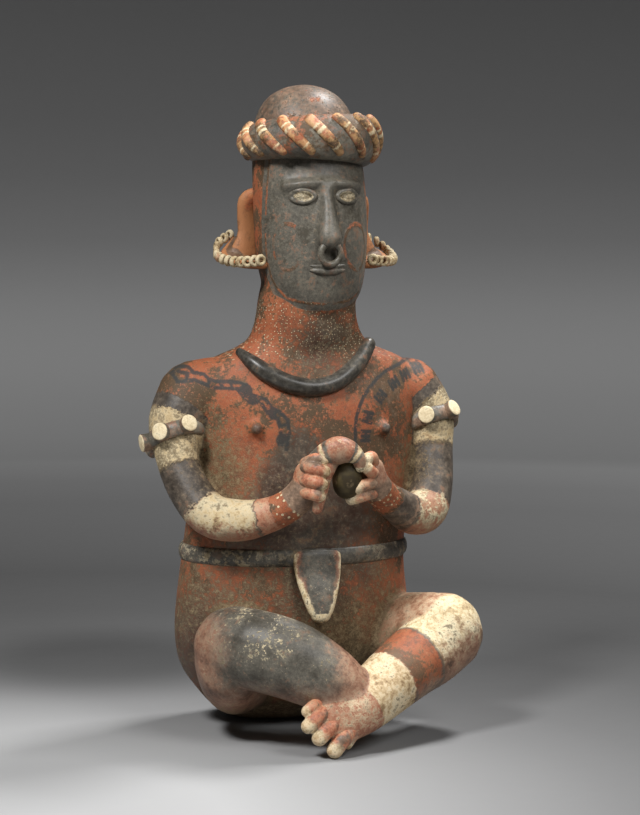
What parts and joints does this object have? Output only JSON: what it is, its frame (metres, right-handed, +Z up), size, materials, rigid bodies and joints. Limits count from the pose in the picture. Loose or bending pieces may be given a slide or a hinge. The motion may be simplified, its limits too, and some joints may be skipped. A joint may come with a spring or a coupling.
{
  "type": "seated ceramic figure",
  "caption": "Seated cross-legged ceramic figure with a rolled turban, beaded ears, collar, studded armbands and a belt with a hanging flap, holding an arched object before the chest.",
  "frame": {"origin": "on the floor, at the middle of the flat underside of the seat", "axes": "+Z up, the figure faces -Y, and its right hand side is at -X"},
  "size_m": [0.4488, 0.3473, 0.84],
  "materials": {
    "painted_clay": "burnished and painted slip, semi-gloss, worn"
  },
  "bodies": {
    "root": {"seated_figure": "painted_clay"}
  },
  "joints": []
}
